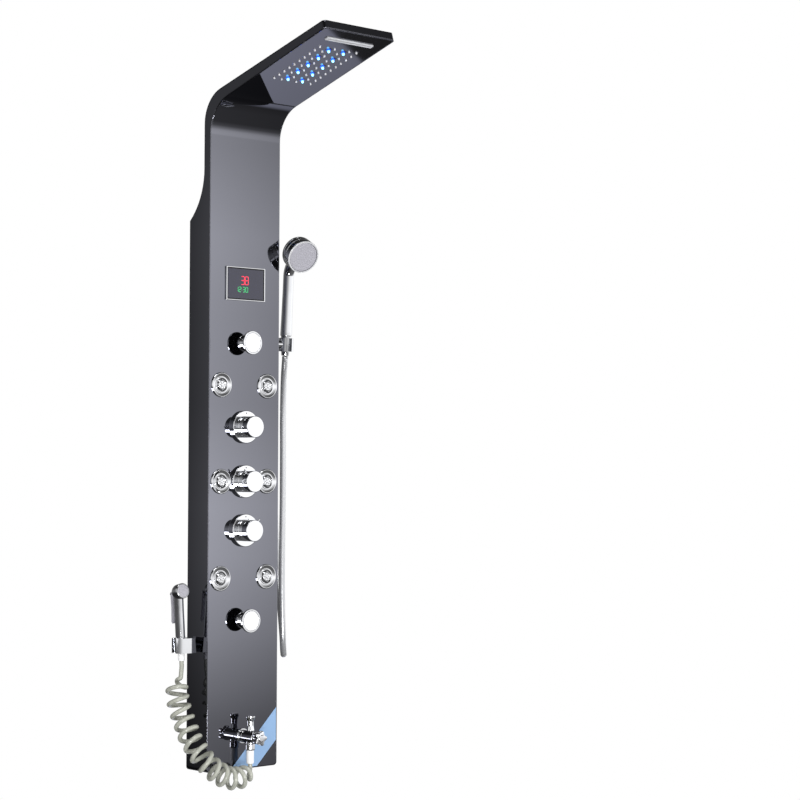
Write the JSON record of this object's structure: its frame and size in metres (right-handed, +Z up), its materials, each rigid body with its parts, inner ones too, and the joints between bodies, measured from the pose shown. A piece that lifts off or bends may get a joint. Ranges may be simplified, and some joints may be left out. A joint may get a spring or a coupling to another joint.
{
  "type": "shower panel column",
  "caption": "Wall-hung shower panel with rain and waterfall head, tilting body jets, swivelling sprays, hand shower, bidet sprayer on a curly hose, valve knobs and display.",
  "frame": {"origin": "centre of the four upper wall screw holes, on the wall plane", "axes": "+Z up, +Y into the wall, +X to the right seen from the front"},
  "size_m": [0.354, 0.4663, 1.6597],
  "materials": {
    "steel": "mirror-polished dark coated stainless steel",
    "zinc": "zinc plated",
    "silicone": "matte silicone",
    "abs_grey": "satin",
    "abs_white": "gloss",
    "abs_black": "matte",
    "chrome": "polished",
    "chrome_plastic": "bright chrome plating on plastic",
    "lens": "clear blue",
    "board": "circuit board",
    "dark_glass": "gloss",
    "brass": "machined",
    "copper": "drawn tube",
    "hose_silver": "silver gloss",
    "hose_grey": "translucent grey"
  },
  "bodies": {
    "panel": {"front_panel": "steel", "head_cover": "steel", "upper_wall_bracket": "zinc", "lower_wall_bracket": "zinc", "hang_bars": "zinc", "nozzle_mat": "silicone", "rain_chamber": "abs_grey", "waterfall_spout": "chrome", "waterfall_chamber": "abs_grey", "led_lenses": "lens", "led_strips": "board", "display_bezel": "chrome", "display_glass": "dark_glass", "display_module": "abs_black", "valve_manifold": "brass", "valve_cartridges": "abs_white", "check_valves": "abs_white", "union_nuts": "brass", "riser_pipes": "copper", "turbine_generator": "abs_black", "jet_supply_pipes": "copper", "side_outlet": "chrome", "knob_flanges": "chrome", "jet_bezels": "chrome_plastic", "jet_nuts": "abs_black", "spray_feet": "chrome", "holder_bracket": "chrome", "hand_shower_hose": "hose_silver", "outlet_hose_nuts": "chrome", "bidet_holder": "chrome", "bidet_hose": "hose_grey", "lower_valve_body": "chrome"},
    "upper_knob_set": {"upper_knob": "chrome", "upper_spindle": "brass"},
    "middle_knob_set": {"middle_knob": "chrome", "middle_spindle": "brass"},
    "lower_knob_set": {"lower_knob": "chrome", "lower_spindle": "brass"},
    "nozzle_upper_left": {"jet_nozzle_upper_left": "chrome_plastic"},
    "nozzle_upper_right": {"jet_nozzle_upper_right": "chrome_plastic"},
    "nozzle_middle_left": {"jet_nozzle_middle_left": "chrome_plastic"},
    "nozzle_middle_right": {"jet_nozzle_middle_right": "chrome_plastic"},
    "nozzle_lower_left": {"jet_nozzle_lower_left": "chrome_plastic"},
    "nozzle_lower_right": {"jet_nozzle_lower_right": "chrome_plastic"},
    "upper_collar": {"upper_spray_collar": "chrome"},
    "lower_collar": {"lower_spray_collar": "chrome"},
    "upper_spray": {"upper_spray_head": "chrome_plastic"},
    "lower_spray": {"lower_spray_head": "chrome_plastic"},
    "cup": {"holder_cup": "chrome"},
    "hand_shower": {"hand_shower_body": "chrome_plastic", "hand_shower_face": "abs_grey", "handset_hose_nut": "chrome"},
    "bidet_sprayer": {"bidet_body": "chrome_plastic", "bidet_face": "abs_white", "bidet_trigger_pin": "chrome", "bidet_hose_nut": "abs_white"},
    "trigger": {"bidet_trigger": "abs_grey"},
    "valve_handle": {"lower_valve_handle": "chrome"},
    "diverter_pull": {"pull_knob": "chrome"}
  },
  "joints": [
    {"name": "upper_knob_turn", "type": "hinge", "parent": "panel", "child": "upper_knob_set", "pos_m": [0, -0.1, -0.38025], "axis": [0, -1, 0], "range_deg": [-180, 0]},
    {"name": "middle_knob_turn", "type": "hinge", "parent": "panel", "child": "middle_knob_set", "pos_m": [0, -0.1, -0.50325], "axis": [0, -1, 0], "range_deg": [-120, 60]},
    {"name": "lower_knob_turn", "type": "hinge", "parent": "panel", "child": "lower_knob_set", "pos_m": [0, -0.1, -0.61375], "axis": [0, -1, 0], "range_deg": [-45, 130]},
    {"name": "upper_left_nozzle_tilt", "type": "hinge", "parent": "panel", "child": "nozzle_upper_left", "pos_m": [-0.0656, -0.069, -0.2865], "axis": [1, 0, 0], "range_deg": [-12, 12]},
    {"name": "upper_right_nozzle_tilt", "type": "hinge", "parent": "panel", "child": "nozzle_upper_right", "pos_m": [0.0656, -0.069, -0.2865], "axis": [1, 0, 0], "range_deg": [-12, 12]},
    {"name": "middle_left_nozzle_tilt", "type": "hinge", "parent": "panel", "child": "nozzle_middle_left", "pos_m": [-0.0656, -0.069, -0.50325], "axis": [1, 0, 0], "range_deg": [-12, 12]},
    {"name": "middle_right_nozzle_tilt", "type": "hinge", "parent": "panel", "child": "nozzle_middle_right", "pos_m": [0.0656, -0.069, -0.50325], "axis": [1, 0, 0], "range_deg": [-12, 12]},
    {"name": "lower_left_nozzle_tilt", "type": "hinge", "parent": "panel", "child": "nozzle_lower_left", "pos_m": [-0.0656, -0.069, -0.72], "axis": [1, 0, 0], "range_deg": [-12, 12]},
    {"name": "lower_right_nozzle_tilt", "type": "hinge", "parent": "panel", "child": "nozzle_lower_right", "pos_m": [0.0656, -0.069, -0.72], "axis": [1, 0, 0], "range_deg": [-12, 12]},
    {"name": "upper_spray_spin", "type": "hinge", "parent": "panel", "child": "upper_collar", "pos_m": [0, -0.0884, -0.1905], "axis": [0, -1, 0], "range_deg": [-90, 90]},
    {"name": "upper_spray_tilt", "type": "hinge", "parent": "upper_collar", "child": "upper_spray", "pos_m": [0, -0.0884, -0.1905], "axis": [1, 0, 0], "range_deg": [-15, 15]},
    {"name": "lower_spray_spin", "type": "hinge", "parent": "panel", "child": "lower_collar", "pos_m": [0, -0.0884, -0.816], "axis": [0, -1, 0], "range_deg": [-90, 90]},
    {"name": "lower_spray_tilt", "type": "hinge", "parent": "lower_collar", "child": "lower_spray", "pos_m": [0, -0.0884, -0.816], "axis": [1, 0, 0], "range_deg": [-15, 15]},
    {"name": "holder_tilt", "type": "hinge", "parent": "panel", "child": "cup", "pos_m": [0.1, -0.03842, -0.18644], "axis": [1, 0, 0], "range_deg": [-4, 25]},
    {"name": "hand_shower_lift", "type": "slide", "parent": "cup", "child": "hand_shower", "axis": [-0.0136, -0.0773, 0.9969], "range_m": [0, 0.12]},
    {"name": "bidet_lift", "type": "slide", "parent": "panel", "child": "bidet_sprayer", "axis": [-0.0645, 0, 0.9979], "range_m": [0, 0.08]},
    {"name": "trigger_press", "type": "hinge", "parent": "bidet_sprayer", "child": "trigger", "pos_m": [-0.14432, -0.008, -0.7542], "axis": [0.9979, 0, 0.0645], "range_deg": [-5, 0], "stiffness_Nm_per_rad": 0.25, "springref_deg": 6.88},
    {"name": "valve_turn", "type": "hinge", "parent": "panel", "child": "valve_handle", "pos_m": [0, -0.137, -1.0755], "axis": [0, -1, 0], "range_deg": [0, 90]},
    {"name": "diverter_lift", "type": "slide", "parent": "panel", "child": "diverter_pull", "axis": [0, 0, 1], "range_m": [0, 0.008]}
  ]
}
